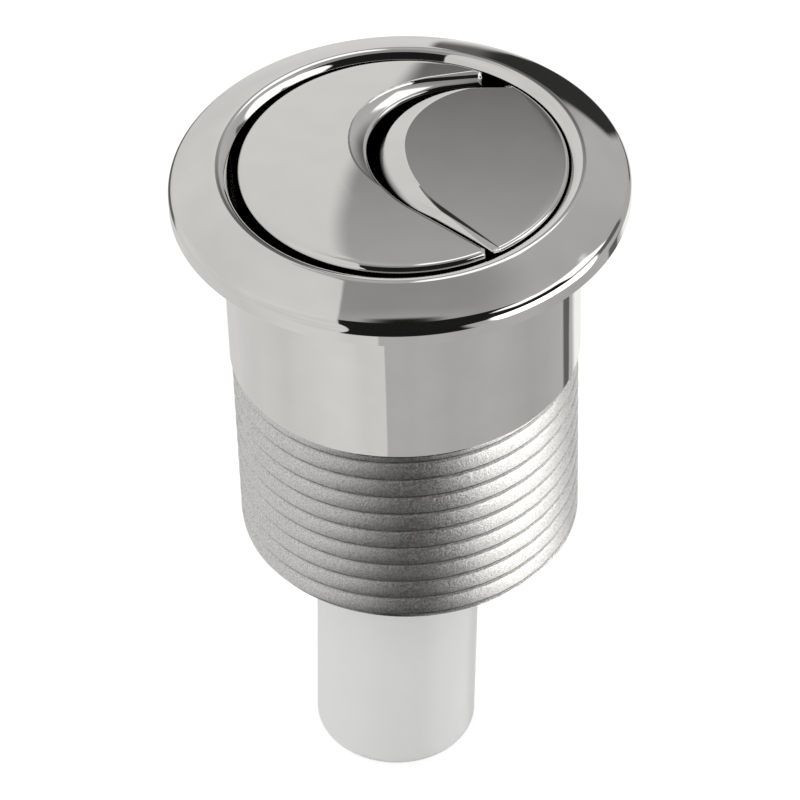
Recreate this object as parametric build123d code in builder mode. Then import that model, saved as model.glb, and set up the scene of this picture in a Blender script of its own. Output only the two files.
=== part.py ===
from build123d import *
from math import cos, radians, sin, tan
import os

# Dual flush push button for a toilet cistern lid, in millimetres, +Z up.
# The origin is the centre of the flange's flat underside, where it sits on the lid.

# Collar: flange, smooth band and threaded barrel in one moulding
barrel_length = 44.6
barrel_wall = 1.48
smooth_length = 20.4
band_step = 0.22
thread_pitch = 2.5
groove_width = 0.7
groove_depth = 0.4
flange_overhang = 5.3
flange_rise = 4.6
rim_height = 2.1
rim_rounding = 0.85
dome_sagitta = 0.12
bezel_width = 0.95
bezel_depth = 1.0
opening_step = 0.7
ledge_width = 0.7
ledge_thickness = 1.6
seat_rounding = 0.4
edge_break = 0.4

# Buttons
button_gap = 0.6
button_shift = 0.3
face_drop = 0.2
button_travel = 6.0
cap_height = 8.0
cap_wall = 1.3
cap_top = 2.0
cap_edge_rounding = 0.7
fit_clearance = 0.15

# Curved split between the buttons, as three comma-shaped lines that bulge towards -X.
# Each has a leftmost point on the line y = split_y, an upper and a lower radius,
# and straight ends that leave the arcs at two angles.
split_y = 2.4
full_split = dict(left=-3.29, upper=10.5, lower=13.9, top_angle=100, tail_angle=228)
half_split = dict(left=-2.17, upper=10.35, lower=14.3, top_angle=90, tail_angle=226)
bevel_line = dict(left=0.5, upper=10.1, lower=15.3, top_angle=90, tail_angle=221)
back_horn_x = 9.0
front_horn_x = 8.3
horn_rounding = 0.4
bevel_slope = 24
scoop_x = 5.0
scoop_y = 3.2
scoop_diameter = 21.0
scoop_radius = 3.2
scoop_depth = 0.9
scoop_tilt = 2.0
scoop_fade_angle = 225

# Sliders and their legs
plate_thickness = 2.0
leg_inset = 1.0
leg_thickness = 1.2
leg_width = 4.2
hook_reach = 0.9
hook_height = 1.8
full_leg_angles = (150, 210)
half_leg_angles = (-12, 12)
running_clearance = 0.1

# Pushers: loose heads in pockets under the buttons, hanging a little out of square
pusher_lean = 2.1
hub_clearance = 0.6
pocket_height = 2.2
head_thickness = 1.4
pocket_floor = 1.2
sleeve_diameter = 18.3
sleeve_wall = 1.6
sleeve_length = 65.8
sleeve_end_wall = 2.2
sleeve_end_rounding = 1.0
sleeve_head_reach = 0.5
hub_wall = 0.85
hub_lip = 1.6
head_clearance = 0.3
neck_clearance = 0.2
bridge_half_angle = 40
bridge_wall = 1.2
pin_diameter = 9.0
pin_hole_clearance = 0.4
pin_recess = 0.3
pin_neck_diameter = 4.0
pin_head_reach = 1.4
pin_neck_length = 2.2
pin_tip_rounding = 0.8
foot_wall = 1.5
stem_diameter = 4.8
stem_inset = 0.2

# Insert in the barrel and the ring under it
insert_wall = 1.2
floor_thickness = 2.4
floor_clearance = 0.8
guide_clearance = 1.0
guide_wall = 1.2
guide_drop = 5.0
slot_clearance = 0.3
skirt_clearance = 0.2
ring_thickness = 1.6
ring_groove_depth = 0.4
ring_width = 1.3
ring_opening = 24
ring_opening_angle = 90

# Return springs
spring_mean_diameter = 4.1
wire_diameter = 0.45
spring_turns = 5
spring_side_gap = 0.325
spigot_clearance = 0.325
spigot_height = 2.2
full_spring_angles = dict(back=112, front=248)
half_spring_angles = dict(back=37, front=-37)

# Screws that hold the caps to the sliders
screw_head_diameter = 3.8
screw_head_height = 1.2
screw_shank_diameter = 2.2
screw_length = 4.2
screw_bore_clearance = 0.05
screw_tip_clearance = 0.3
cross_length = 2.4
cross_width = 0.6
cross_depth = 0.7
boss_diameter = 4.4
full_screw_places = dict(back=(-8.0, 8.5), front=(-8.0, -8.5))
half_screw_places = dict(back=(8.4, 5.0), front=(8.8, -5.0))

# Radii that follow from the sizes above, from the pushers out to the flange
sleeve_radius = sleeve_diameter / 2
sleeve_bore_radius = sleeve_radius - sleeve_wall
sleeve_head_radius = sleeve_radius + sleeve_head_reach
pin_radius = pin_diameter / 2
pin_neck_radius = pin_neck_diameter / 2
pin_head_radius = pin_neck_radius + pin_head_reach
foot_radius = pin_head_radius + head_clearance + foot_wall
stem_x = foot_radius - stem_diameter / 2 - stem_inset
pocket_radius = sleeve_head_radius + head_clearance
hub_radius = pocket_radius + hub_wall
spring_outer_radius = (spring_mean_diameter + wire_diameter) / 2
spigot_diameter = spring_mean_diameter - wire_diameter - 2 * spigot_clearance
spring_circle = hub_radius + spring_side_gap + spring_outer_radius
insert_inner_radius = spring_circle + spring_outer_radius + spring_side_gap
leg_centre_radius = insert_inner_radius - leg_inset
insert_radius = insert_inner_radius + insert_wall
bore_radius = insert_radius + running_clearance
ledge_radius = bore_radius - ledge_width
opening_radius = bore_radius + opening_step
button_radius = opening_radius - button_gap
bezel_radius = opening_radius + bezel_width
thread_radius = bore_radius + barrel_wall
barrel_radius = thread_radius + band_step
flange_radius = barrel_radius + flange_overhang

# Heights that follow, from the buttons down to the insert
face_z = flange_rise - face_drop
cap_base_z = face_z - cap_height
ceiling_z = face_z - cap_top
plate_top_z = cap_base_z + plate_thickness
ledge_top_z = cap_base_z - button_travel - skirt_clearance
ledge_bottom_z = ledge_top_z - ledge_thickness
hub_top_z = cap_base_z - button_travel - hub_clearance
pocket_top_z = hub_top_z - pocket_floor
pivot_z = pocket_top_z - pocket_height / 2
pocket_bottom_z = pocket_top_z - pocket_height
hub_bottom_z = pocket_bottom_z - pocket_floor
floor_top_z = hub_bottom_z - button_travel - floor_clearance
floor_bottom_z = floor_top_z - floor_thickness

# Upright plane through the leaning axis of the pushers, measured from their pivot
lean = radians(pusher_lean)
lean_plane = Plane(origin=(0, 0, pivot_z), x_dir=(cos(lean), 0, -sin(lean)), z_dir=(0, -1, 0))
pusher_axis = Axis((0, 0, pivot_z), (sin(lean), 0, cos(lean)))

os.makedirs("parts", exist_ok=True)


def radial_plane(angle):
    # Upright plane through the barrel's axis: local x is the radius, local y is the height.
    a = radians(angle)
    return Plane(origin=(0, 0, 0), x_dir=(cos(a), sin(a), 0), z_dir=(sin(a), -cos(a), 0))


def circle_edges(part, radius, height):
    # Round edges of a turned part at one radius and height.
    rounds = part.edges().filter_by(GeomType.CIRCLE)
    return rounds.filter_by(
        lambda e: abs(e.radius - radius) < 0.01 and abs(e.arc_center.Z - height) < 0.01
    )


def on_circle(radius, angle):
    return (radius * cos(radians(angle)), radius * sin(radians(angle)))


def comma_line(left, upper, lower, top_angle, tail_angle, back_x, front_x):
    # Straight head, two arcs that meet at the leftmost point, and a straight tail.
    top = CenterArc((left + upper, split_y), upper, top_angle, 180 - top_angle)
    bottom = CenterArc((left + lower, split_y), lower, 180, tail_angle - 180)
    head_end = top @ 0 + (top % 0) * ((back_x - (top @ 0).X) / (top % 0).X)
    tail_end = bottom @ 1 + (bottom % 1) * ((front_x - (bottom @ 1).X) / (bottom % 1).X)
    Line(head_end, top @ 0)
    Line(bottom @ 1, tail_end)
    return head_end, tail_end


def beyond_line(split, back_x, front_x):
    # Face that covers everything on the +X side of a comma line.
    reach = 4 * button_radius
    with BuildSketch() as side:
        with BuildLine():
            head_end, tail_end = comma_line(**split, back_x=back_x, front_x=front_x)
            Polyline(
                tail_end,
                (tail_end.X, -reach),
                (reach, -reach),
                (reach, reach),
                (head_end.X, reach),
                head_end,
            )
        make_face()
    return side.sketch


def button_plan(split, back_x, front_x, keep_mode, inset):
    # Outline of one button: the round disc on one side of a comma line, moved inwards by an inset.
    with BuildSketch() as plan:
        with Locations((button_shift, 0)):
            Circle(button_radius)
        add(beyond_line(split, back_x, front_x), mode=keep_mode)
        horns = plan.vertices().filter_by(
            lambda v: min(abs(v.X - back_x), abs(v.X - front_x)) < 0.01
        )
        if horns:
            fillet(horns, horn_rounding)
        if inset:
            offset(amount=-inset, kind=Kind.INTERSECTION, mode=Mode.REPLACE)
    return plan.sketch


def full_plan(inset=0):
    return button_plan(full_split, back_horn_x, front_horn_x, Mode.SUBTRACT, inset)


def half_plan(inset=0):
    return button_plan(half_split, button_radius, button_radius, Mode.INTERSECT, inset)


def raised(plan, height):
    # A flat outline moved up to a height.
    return Plane.XY.offset(height) * plan


def button_disc(plan):
    # Disc with a rounded rim, cut to the outline of one button.
    with BuildSketch(Plane.XZ.shift_origin((button_shift, 0, 0))) as half_disc:
        with BuildLine():
            Polyline(
                (button_radius - cap_edge_rounding, face_z),
                (0, face_z),
                (0, cap_base_z),
                (button_radius, cap_base_z),
                (button_radius, face_z - cap_edge_rounding),
            )
            RadiusArc(
                (button_radius, face_z - cap_edge_rounding),
                (button_radius - cap_edge_rounding, face_z),
                -cap_edge_rounding,
            )
        make_face()
    revolve(half_disc.sketch, axis=Axis((button_shift, 0, 0), (0, 0, 1)))
    extrude(raised(plan, cap_base_z), amount=cap_height, mode=Mode.INTERSECT)


def dots(places, diameter):
    # Circles of one diameter at several places.
    with BuildSketch() as circles:
        with Locations(*places):
            Circle(diameter / 2)
    return circles.sketch


def hollow_cap(inner_plan, places):
    # Hollow under the top wall, with a boss for each screw.
    shank = screw_shank_diameter + 2 * screw_bore_clearance
    bore_depth = screw_length - (plate_thickness - screw_head_height) + screw_tip_clearance
    extrude(raised(inner_plan, cap_base_z), amount=ceiling_z - cap_base_z, mode=Mode.SUBTRACT)
    extrude(raised(dots(places, boss_diameter), ceiling_z), amount=plate_top_z - ceiling_z)
    extrude(raised(dots(places, shank), plate_top_z), amount=bore_depth, mode=Mode.SUBTRACT)


def slider_plate(plan, places, spring_angles):
    # Plate inside the cap's skirt, with sunk screw holes and pegs for the springs.
    springs = [on_circle(spring_circle, a) for a in spring_angles.values()]
    shank = screw_shank_diameter + 2 * screw_bore_clearance
    head = screw_head_diameter + 2 * running_clearance
    extrude(raised(plan, cap_base_z), amount=plate_thickness)
    extrude(raised(dots(springs, spigot_diameter), cap_base_z), amount=-spigot_height)
    extrude(raised(dots(places, shank), cap_base_z), amount=plate_thickness, mode=Mode.SUBTRACT)
    extrude(raised(dots(places, head), cap_base_z), amount=screw_head_height, mode=Mode.SUBTRACT)


def slider_legs(angles):
    # Snap legs that hook under the insert's floor and stop the button on its way up.
    inner = leg_centre_radius - leg_thickness / 2
    outer = leg_centre_radius + leg_thickness / 2
    catch_z = floor_bottom_z - running_clearance
    for angle in angles:
        with BuildSketch(radial_plane(angle)) as leg:
            with BuildLine():
                Polyline(
                    (inner, cap_base_z),
                    (outer, cap_base_z),
                    (outer, catch_z - hook_height),
                    (inner, catch_z - hook_height),
                    (inner - hook_reach, catch_z - hook_height / 3),
                    (inner - hook_reach, catch_z),
                    (inner, catch_z),
                    close=True,
                )
            make_face()
        extrude(leg.sketch, amount=leg_width / 2, both=True)


# Collar
with BuildPart() as collar:
    with BuildSketch(Plane.XZ):
        with BuildLine():
            dome_outer = (flange_radius, rim_height)
            dome_inner = (bezel_radius, flange_rise)
            Polyline(
                (opening_radius, flange_rise - bezel_depth),
                (opening_radius, ledge_top_z),
                (ledge_radius, ledge_top_z),
                (ledge_radius, ledge_bottom_z),
                (bore_radius, ledge_bottom_z),
                (bore_radius, -barrel_length),
                (thread_radius, -barrel_length),
                (thread_radius, -smooth_length),
                (barrel_radius, -smooth_length),
                (barrel_radius, 0),
                (flange_radius, 0),
                dome_outer,
            )
            SagittaArc(dome_outer, dome_inner, dome_sagitta)
            Line(dome_inner, (opening_radius, flange_rise - bezel_depth))
        make_face()
    revolve(axis=Axis.Z)
    fillet(circle_edges(collar, flange_radius, rim_height), rim_rounding)
    fillet(circle_edges(collar, flange_radius, 0), rim_rounding)
    fillet(circle_edges(collar, barrel_radius, 0), seat_rounding)
    fillet(circle_edges(collar, bezel_radius, flange_rise), edge_break / 2)
    chamfer(circle_edges(collar, bore_radius, -barrel_length), edge_break)
    chamfer(circle_edges(collar, thread_radius, -barrel_length), edge_break)
    # Groove in the bore for the retaining ring
    with BuildSketch(Plane.XY.offset(floor_bottom_z)):
        Circle(bore_radius + ring_groove_depth)
    extrude(amount=-ring_thickness, mode=Mode.SUBTRACT)
    # Coarse right-hand thread: a shallow V groove along a helix
    thread_start_z = -smooth_length - groove_width * 0.75
    with BuildLine() as thread_path:
        Helix(
            pitch=thread_pitch,
            height=barrel_length - smooth_length + thread_pitch / 2,
            radius=thread_radius,
            center=(0, 0, thread_start_z),
            direction=(0, 0, -1),
        )
    start = thread_path.line @ 0
    with BuildSketch(
        Plane(origin=start, x_dir=(start.X, start.Y, 0), z_dir=thread_path.line % 0)
    ) as groove_section:
        Polygon(
            (-groove_depth, 0),
            (groove_depth / 2, groove_width * 0.75),
            (groove_depth / 2, -groove_width * 0.75),
            align=None,
        )
    sweep(path=thread_path.line, is_frenet=True, mode=Mode.SUBTRACT)
collar.part.label = "collar"
export_step(collar.part, "parts/collar.step")

# Large cap for the full flush, with a scooped edge that fades towards the front
with BuildPart() as full_flush_cap:
    button_disc(full_plan())
    fade = radians(scoop_fade_angle)
    tilt = sin(radians(scoop_tilt))
    scoop_plane = Plane(
        origin=(scoop_x, scoop_y, face_z - scoop_depth + scoop_radius),
        z_dir=(-tilt * cos(fade), -tilt * sin(fade), cos(radians(scoop_tilt))),
    )
    scoop_reach = (scoop_radius**2 - (scoop_radius - scoop_depth) ** 2) ** 0.5
    with Locations(scoop_plane):
        Torus(scoop_diameter / 2 - scoop_reach, scoop_radius, mode=Mode.SUBTRACT)
    hollow_cap(full_plan(cap_wall), full_screw_places.values())
full_flush_cap.part.label = "full_flush_cap"
export_step(full_flush_cap.part, "parts/full_flush_cap.step")

# Small cap for the half flush, with a bevel that tapers to nothing at both tips
with BuildPart() as half_flush_cap:
    button_disc(half_plan())
    with BuildLine(Plane.XY.offset(face_z)) as bevel_path:
        comma_line(**bevel_line, back_x=button_radius, front_x=button_radius)
    bevel_start = bevel_path.line @ 0
    bevel_reach = 3 * (bevel_line["left"] - half_split["left"])
    bevel_drop = bevel_reach * tan(radians(bevel_slope))
    with BuildSketch(Plane(origin=bevel_start, x_dir=(0, 1, 0), z_dir=-(bevel_path.line % 0))):
        Polygon(
            (0, 0), (bevel_reach, -bevel_drop), (bevel_reach, cap_height), (0, cap_height), align=None
        )
    sweep(path=bevel_path.line, mode=Mode.SUBTRACT)
    hollow_cap(half_plan(cap_wall), half_screw_places.values())
half_flush_cap.part.label = "half_flush_cap"
export_step(half_flush_cap.part, "parts/half_flush_cap.step")

# Slider of the large button: plate, legs, and the hub that traps the sleeve's head
with BuildPart() as full_flush_slider:
    slider_plate(
        full_plan(cap_wall + fit_clearance), full_screw_places.values(), full_spring_angles
    )
    slider_legs(full_leg_angles)
    with BuildSketch(Plane.XZ):
        Polygon(
            (sleeve_head_radius - hub_lip + head_clearance, hub_top_z),
            (hub_radius, hub_top_z),
            (hub_radius, hub_bottom_z),
            (sleeve_radius + neck_clearance, hub_bottom_z),
            (sleeve_radius + neck_clearance, pocket_bottom_z),
            (pocket_radius, pocket_bottom_z),
            (pocket_radius, pocket_top_z),
            (sleeve_head_radius - hub_lip + head_clearance, pocket_top_z),
            align=None,
        )
    revolve(axis=Axis.Z)
    with BuildSketch(Plane.XY.offset(hub_top_z)):
        Circle(hub_radius)
        Circle(hub_radius - bridge_wall, mode=Mode.SUBTRACT)
        Polygon(
            (0, 0),
            on_circle(2 * hub_radius, 180 - bridge_half_angle),
            on_circle(2 * hub_radius, 180 + bridge_half_angle),
            align=None,
            mode=Mode.INTERSECT,
        )
    extrude(amount=cap_base_z - hub_top_z)
full_flush_slider.part.label = "full_flush_slider"
export_step(full_flush_slider.part, "parts/full_flush_slider.step")

# Slider of the small button: plate, legs, stem, and the slotted foot that traps the pin's head
with BuildPart() as half_flush_slider:
    slider_plate(
        half_plan(cap_wall + fit_clearance), half_screw_places.values(), half_spring_angles
    )
    slider_legs(half_leg_angles)
    with BuildSketch(Plane.XY.offset(cap_base_z)):
        with Locations((stem_x, 0)):
            Circle(stem_diameter / 2)
    extrude(amount=hub_top_z - cap_base_z)
    with BuildSketch(Plane.XY.offset(hub_top_z)):
        Circle(foot_radius)
    extrude(amount=hub_bottom_z - hub_top_z)
    for slot_radius, slot_top_z in (
        (pin_head_radius + head_clearance, pocket_top_z),
        (pin_neck_radius + head_clearance, pocket_bottom_z),
    ):
        with BuildSketch(Plane.XY.offset(slot_top_z)):
            Circle(slot_radius)
            with Locations((foot_radius, 0)):
                Rectangle(2 * foot_radius, 2 * slot_radius)
        slot_bottom_z = pocket_bottom_z if slot_top_z == pocket_top_z else hub_bottom_z
        extrude(amount=slot_bottom_z - slot_top_z, mode=Mode.SUBTRACT)
half_flush_slider.part.label = "half_flush_slider"
export_step(half_flush_slider.part, "parts/half_flush_slider.step")

# Outer pusher: the white stub below the barrel
with BuildPart() as full_flush_sleeve:
    with BuildSketch(lean_plane):
        with BuildLine():
            rounding_top = (sleeve_radius, sleeve_end_rounding - sleeve_length)
            rounding_bottom = (sleeve_radius - sleeve_end_rounding, -sleeve_length)
            pin_hole_radius = pin_radius + pin_hole_clearance
            Polyline(
                rounding_bottom,
                (pin_hole_radius, -sleeve_length),
                (pin_hole_radius, sleeve_end_wall - sleeve_length),
                (sleeve_bore_radius, sleeve_end_wall - sleeve_length),
                (sleeve_bore_radius, head_thickness / 2),
                (sleeve_head_radius, head_thickness / 2),
                (sleeve_head_radius, -head_thickness / 2),
                (sleeve_radius, -head_thickness / 2),
                rounding_top,
            )
            RadiusArc(rounding_top, rounding_bottom, sleeve_end_rounding)
        make_face()
    revolve(axis=pusher_axis)
full_flush_sleeve.part.label = "full_flush_sleeve"
export_step(full_flush_sleeve.part, "parts/full_flush_sleeve.step")

# Inner pusher, inside the sleeve
with BuildPart() as half_flush_pin:
    with BuildSketch(lean_plane):
        with BuildLine():
            pin_shoulder = -head_thickness / 2 - pin_neck_length
            pin_end = pin_recess - sleeve_length
            Polyline(
                (pin_radius - pin_tip_rounding, pin_end),
                (0, pin_end),
                (0, head_thickness / 2),
                (pin_head_radius, head_thickness / 2),
                (pin_head_radius, -head_thickness / 2),
                (pin_neck_radius, -head_thickness / 2),
                (pin_neck_radius, pin_shoulder),
                (pin_radius, pin_shoulder),
                (pin_radius, pin_end + pin_tip_rounding),
            )
            RadiusArc(
                (pin_radius, pin_end + pin_tip_rounding),
                (pin_radius - pin_tip_rounding, pin_end),
                pin_tip_rounding,
            )
        make_face()
    revolve(axis=pusher_axis)
half_flush_pin.part.label = "half_flush_pin"
export_step(half_flush_pin.part, "parts/half_flush_pin.step")

# Insert: basket with spring pegs, leg slots and the guide for the sleeve
with BuildPart() as guide_insert:
    with BuildSketch(Plane.XY.offset(floor_bottom_z)):
        Circle(insert_radius)
    extrude(amount=ledge_bottom_z - floor_bottom_z)
    with BuildSketch(Plane.XY.offset(floor_top_z)):
        Circle(insert_inner_radius)
    extrude(amount=ledge_bottom_z - floor_top_z, mode=Mode.SUBTRACT)
    with BuildSketch(Plane.XY.offset(floor_top_z)):
        for angle in (*full_spring_angles.values(), *half_spring_angles.values()):
            with Locations(on_circle(spring_circle, angle)):
                Circle(spigot_diameter / 2)
    extrude(amount=spigot_height)
    with BuildSketch(Plane.XY.offset(floor_bottom_z)):
        Circle(sleeve_radius + guide_clearance + guide_wall)
    extrude(amount=-guide_drop)
    with BuildSketch(Plane.XY.offset(floor_top_z)):
        Circle(sleeve_radius + guide_clearance)
        for angle in (*full_leg_angles, *half_leg_angles):
            with PolarLocations(leg_centre_radius, 1, start_angle=angle):
                Rectangle(leg_thickness + 2 * slot_clearance, leg_width + 2 * slot_clearance)
    extrude(amount=-floor_thickness - guide_drop, mode=Mode.SUBTRACT)
guide_insert.part.label = "guide_insert"
export_step(guide_insert.part, "parts/guide_insert.step")

# Split ring that snaps into the groove under the insert
with BuildPart() as retaining_ring:
    ring_radius = bore_radius + ring_groove_depth - running_clearance
    with BuildSketch(Plane.XY.offset(floor_bottom_z)):
        Circle(ring_radius)
        Circle(ring_radius - ring_width, mode=Mode.SUBTRACT)
        Polygon(
            (0, 0),
            on_circle(2 * ring_radius, ring_opening_angle - ring_opening / 2),
            on_circle(2 * ring_radius, ring_opening_angle + ring_opening / 2),
            align=None,
            mode=Mode.SUBTRACT,
        )
    extrude(amount=running_clearance - ring_thickness)
retaining_ring.part.label = "retaining_ring"
export_step(retaining_ring.part, "parts/retaining_ring.step")

# Return springs, from the insert's floor to the underside of each slider
for button, spring_angles in (("full", full_spring_angles), ("half", half_spring_angles)):
    for place, angle in spring_angles.items():
        spring_name = f"{button}_spring_{place}"
        with BuildPart() as spring:
            coil_height = cap_base_z - floor_top_z - wire_diameter
            with BuildLine() as coil:
                Helix(
                    pitch=coil_height / spring_turns,
                    height=coil_height,
                    radius=spring_mean_diameter / 2,
                    center=(*on_circle(spring_circle, angle), floor_top_z + wire_diameter / 2),
                )
            with BuildSketch(Plane(origin=coil.line @ 0, z_dir=coil.line % 0)):
                RegularPolygon(wire_diameter / 2, 4)
            sweep(path=coil.line, is_frenet=True)
        spring.part.label = spring_name
        export_step(spring.part, f"parts/{spring_name}.step")

# Screws that hold each cap to its slider, sunk flush from below
for button, places in (("full", full_screw_places), ("half", half_screw_places)):
    for place, (screw_x, screw_y) in places.items():
        screw_name = f"{button}_cap_screw_{place}"
        with BuildPart() as screw:
            with BuildSketch(Plane.XY.offset(cap_base_z)):
                with Locations((screw_x, screw_y)):
                    Circle(screw_head_diameter / 2)
            extrude(amount=screw_head_height)
            with BuildSketch(Plane.XY.offset(cap_base_z)):
                with Locations((screw_x, screw_y)):
                    Circle(screw_shank_diameter / 2)
            extrude(amount=screw_head_height + screw_length)
            with BuildSketch(Plane.XY.offset(cap_base_z)):
                with Locations((screw_x, screw_y)):
                    Rectangle(cross_length, cross_width)
                    Rectangle(cross_width, cross_length)
            extrude(amount=cross_depth, mode=Mode.SUBTRACT)
        screw.part.label = screw_name
        export_step(screw.part, f"parts/{screw_name}.step")
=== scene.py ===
import bmesh
import bpy
import math
import numpy as np
from mathutils import Matrix, Vector


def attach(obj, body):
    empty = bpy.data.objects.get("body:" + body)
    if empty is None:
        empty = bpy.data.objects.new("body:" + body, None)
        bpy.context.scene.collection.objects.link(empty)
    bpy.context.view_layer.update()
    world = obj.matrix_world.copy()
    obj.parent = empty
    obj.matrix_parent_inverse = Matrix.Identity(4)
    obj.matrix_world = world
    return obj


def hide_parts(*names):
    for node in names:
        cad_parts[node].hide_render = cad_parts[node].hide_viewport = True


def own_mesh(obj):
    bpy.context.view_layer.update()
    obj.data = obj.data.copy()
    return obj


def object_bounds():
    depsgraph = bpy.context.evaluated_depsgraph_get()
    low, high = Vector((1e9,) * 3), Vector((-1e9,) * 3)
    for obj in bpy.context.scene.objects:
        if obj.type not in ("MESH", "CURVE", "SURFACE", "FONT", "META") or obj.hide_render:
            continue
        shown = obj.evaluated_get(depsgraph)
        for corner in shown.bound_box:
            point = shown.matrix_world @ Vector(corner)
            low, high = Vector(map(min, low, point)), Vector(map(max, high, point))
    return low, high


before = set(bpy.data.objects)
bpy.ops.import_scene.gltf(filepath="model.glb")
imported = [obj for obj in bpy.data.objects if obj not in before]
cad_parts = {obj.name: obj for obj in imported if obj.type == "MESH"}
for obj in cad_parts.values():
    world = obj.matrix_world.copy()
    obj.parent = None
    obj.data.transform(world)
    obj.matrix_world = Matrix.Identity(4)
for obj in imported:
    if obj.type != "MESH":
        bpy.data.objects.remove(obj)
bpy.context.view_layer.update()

mm = 0.001
weldReach = 1e-7
shellWeld = 1e-6
scene = bpy.context.scene
print("frame loaded:", len(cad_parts), "nodes")


# Node helpers

def put(tree, kind, **values):
    # One node with its properties set
    node = tree.nodes.new(kind)
    for key, value in values.items():
        setattr(node, key, value)
    return node


def fill(tree, node, terms):
    # Sets or links numbered inputs; a term is a number, a colour or a socket
    for slot, term in terms:
        if isinstance(term, (int, float)):
            node.inputs[slot].default_value = term
        elif isinstance(term, tuple):
            node.inputs[slot].default_value = (*term, 1)
        else:
            tree.links.new(term, node.inputs[slot])


def calc(tree, operation, *terms, clamp=False):
    # One math node
    node = put(tree, "ShaderNodeMath", operation=operation, use_clamp=clamp)
    fill(tree, node, enumerate(terms))
    return node.outputs[0]


def joined(tree, kind, *terms):
    # A node that joins its terms, such as Combine XYZ
    node = put(tree, kind)
    fill(tree, node, enumerate(terms))
    return node.outputs[0]


def axesOf(tree, place):
    parts = put(tree, "ShaderNodeSeparateXYZ")
    tree.links.new(place, parts.inputs[0])
    return parts.outputs


def ramp(tree, value, low, high, start=0.0, end=1.0, smooth=True):
    # Takes value from low..high to start..end
    node = put(tree, "ShaderNodeMapRange", interpolation_type="SMOOTHSTEP" if smooth else "LINEAR")
    fill(tree, node, enumerate((value, low, high, start, end)))
    return node.outputs[0]


def product(tree, *terms):
    # All terms multiplied together
    out = terms[0]
    for term in terms[1:]:
        out = calc(tree, "MULTIPLY", out, term)
    return out


def window(tree, value, low, high, soft):
    # 1 between low and high, falling to 0 over soft at each side
    rise = ramp(tree, value, low - soft, low + soft)
    fall = ramp(tree, value, high - soft, high + soft, 1.0, 0.0)
    return calc(tree, "MULTIPLY", rise, fall)


def blendValue(tree, mask, first, second):
    # first where mask is 0, second where it is 1
    node = put(tree, "ShaderNodeMix", data_type="FLOAT")
    fill(tree, node, ((0, mask), (2, first), (3, second)))
    return node.outputs[0]


def blendColour(tree, mask, first, second, kind="MIX"):
    node = put(tree, "ShaderNodeMix", data_type="RGBA", blend_type=kind)
    fill(tree, node, ((0, mask), (6, first), (7, second)))
    return node.outputs[2]


def objectPlace(tree):
    return put(tree, "ShaderNodeTexCoord").outputs["Object"]


def axisDistance(tree, axes):
    # Distance from the Z axis
    squares = [calc(tree, "MULTIPLY", axes[k], axes[k]) for k in (0, 1)]
    return calc(tree, "SQRT", calc(tree, "ADD", *squares))


def speckle(tree, place, scale, detail=3.0, rough=0.5, stretch=(1, 1, 1)):
    # Noise on object coordinates; scale is in lumps per metre
    spread = put(tree, "ShaderNodeMapping")
    spread.inputs["Scale"].default_value = stretch
    tree.links.new(place, spread.inputs["Vector"])
    noise = put(tree, "ShaderNodeTexNoise")
    noise.inputs["Scale"].default_value = scale
    noise.inputs["Detail"].default_value = detail
    noise.inputs["Roughness"].default_value = rough
    tree.links.new(spread.outputs[0], noise.inputs["Vector"])
    return noise.outputs["Fac"]


def bump(tree, height, distance, strength=1.0, under=None):
    node = put(tree, "ShaderNodeBump")
    node.inputs["Strength"].default_value = strength
    node.inputs["Distance"].default_value = distance
    tree.links.new(height, node.inputs["Height"])
    if under:
        tree.links.new(under, node.inputs["Normal"])
    return node.outputs["Normal"]


def newMaterial(name):
    material = bpy.data.materials.new(name)
    material.use_nodes = True
    tree = material.node_tree
    shader = tree.nodes["Principled BSDF"]
    return material, tree, shader


# Finishes

chromeLook = {
    "dark": (0.80, 0.79, 0.775),
    "light": (0.88, 0.875, 0.86),
    "roughness": (0.012, 0.032),
    "haze": 260,              # lumps per metre of the plating's haze
    "hazeRange": (0.35, 0.7),
    "ripple": 90,             # slow waviness of the moulding under the plating
    "rippleDepth": 0.00002,
    "satinRoughness": (0.3, 0.44),
    "grain": 5200,
    "grainRange": (0.3, 0.7),
    "grainDepth": 0.00006,
    "sparkRange": (0.36, 0.62),
    "sparkTone": (0.74, 1.08),
    # Painted shade: the colour darkens towards the bottom of each thread groove
    "grooveShadeRadius": (18.42 * mm, 18.56 * mm),
    "grooveShadeTone": 0.45,
    "bandFootTone": 0.45,        # darker ragged strip just below the band, where it meets the bead-blasted thread
    "bandFootHeight": 0.24 * mm,
    "bandFootSoft": 0.04 * mm,
    "torn": 1500,
    "bandFootRagRange": (0.45, 0.58),
    "satinTop": -20.4 * mm,
    "satinSoft": 0.1 * mm,
    "satinInner": 18.0 * mm,
    "boreReach": 0.3 * mm,
    # Painted shade: heights over which the colour darkens down into the gaps and the bore, and the dark
    # colour it reaches
    "shadeTop": {"collar": 2.6 * mm, "cap": 3.86 * mm},
    "shadeBottom": {"collar": 0.8 * mm, "cap": 3.25 * mm},
    "bare": (0.07, 0.07, 0.07),
}


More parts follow.
